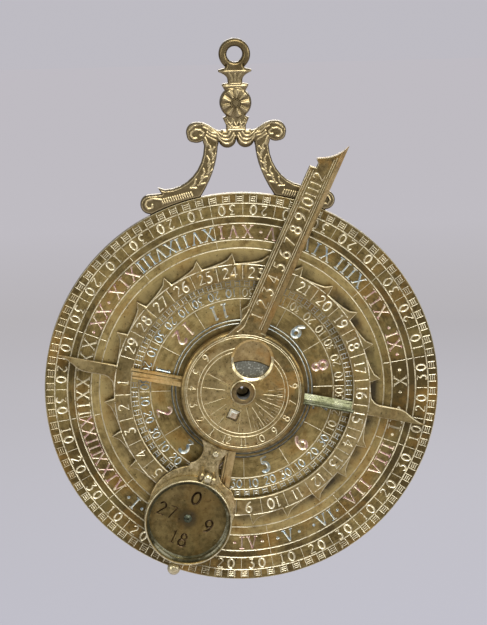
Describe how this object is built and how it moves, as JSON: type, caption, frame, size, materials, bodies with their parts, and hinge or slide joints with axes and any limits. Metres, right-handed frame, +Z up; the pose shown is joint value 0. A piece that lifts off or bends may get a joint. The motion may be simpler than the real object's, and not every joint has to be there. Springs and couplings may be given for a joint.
{
  "type": "nocturnal dial",
  "caption": "Round brass nocturnal dial with a scrolled throne and hanging eye, a toothed lunar ring with pointers, a reading arm with a moon window, and a small folding compass.",
  "frame": {"origin": "axis of the sight hole at the front face of the base plate", "axes": "+Z up through the suspension eye, +X to the reader's right, the engraved face looks along -Y"},
  "size_m": [0.088, 0.0113, 0.122],
  "materials": {
    "plate_brass": "aged, engraved, olive brown patina",
    "cast_brass": "cast and chased, dark in the hollows",
    "ring_brass": "aged, engraved, worn edges",
    "rule_brass": "aged, engraved, worn edges",
    "bowl_brass": "dark brown patina with green traces",
    "worn_brass": "worn bright",
    "moon_black": "dark grey, granular",
    "verdigris": "green corrosion on a broken post"
  },
  "bodies": {
    "plate": {"base_plate": "plate_brass", "throne": "cast_brass", "throne_dowels": "cast_brass", "sight_tube": "worn_brass", "front_collet": "worn_brass", "ring_spacer": "plate_brass"},
    "ring": {"lunar_ring": "ring_brass", "moon_inlay": "moon_black"},
    "pointer_rule": {"rule": "rule_brass", "compass_bracket": "rule_brass", "hinge_leaf": "worn_brass", "leaf_rivet": "worn_brass", "bracket_stud": "worn_brass", "hinge_pin": "worn_brass"},
    "compass": {"compass_bowl": "bowl_brass", "bowl_knuckle": "worn_brass", "glass_seat_ring": "bowl_brass", "needle_post": "verdigris", "compass_knob": "worn_brass"}
  },
  "joints": [
    {"name": "ring_turn", "type": "hinge", "parent": "plate", "child": "ring", "pos_m": [0, 0, 0], "axis": [0, -1, 0], "continuous": true},
    {"name": "rule_turn", "type": "hinge", "parent": "plate", "child": "pointer_rule", "pos_m": [0, 0, 0], "axis": [0, -1, 0], "continuous": true},
    {"name": "compass_fold", "type": "hinge", "parent": "pointer_rule", "child": "compass", "pos_m": [-0.00845, -0.00771, -0.01846], "axis": [-0.9092, 0, 0.4163], "range_deg": [0, 180]}
  ]
}
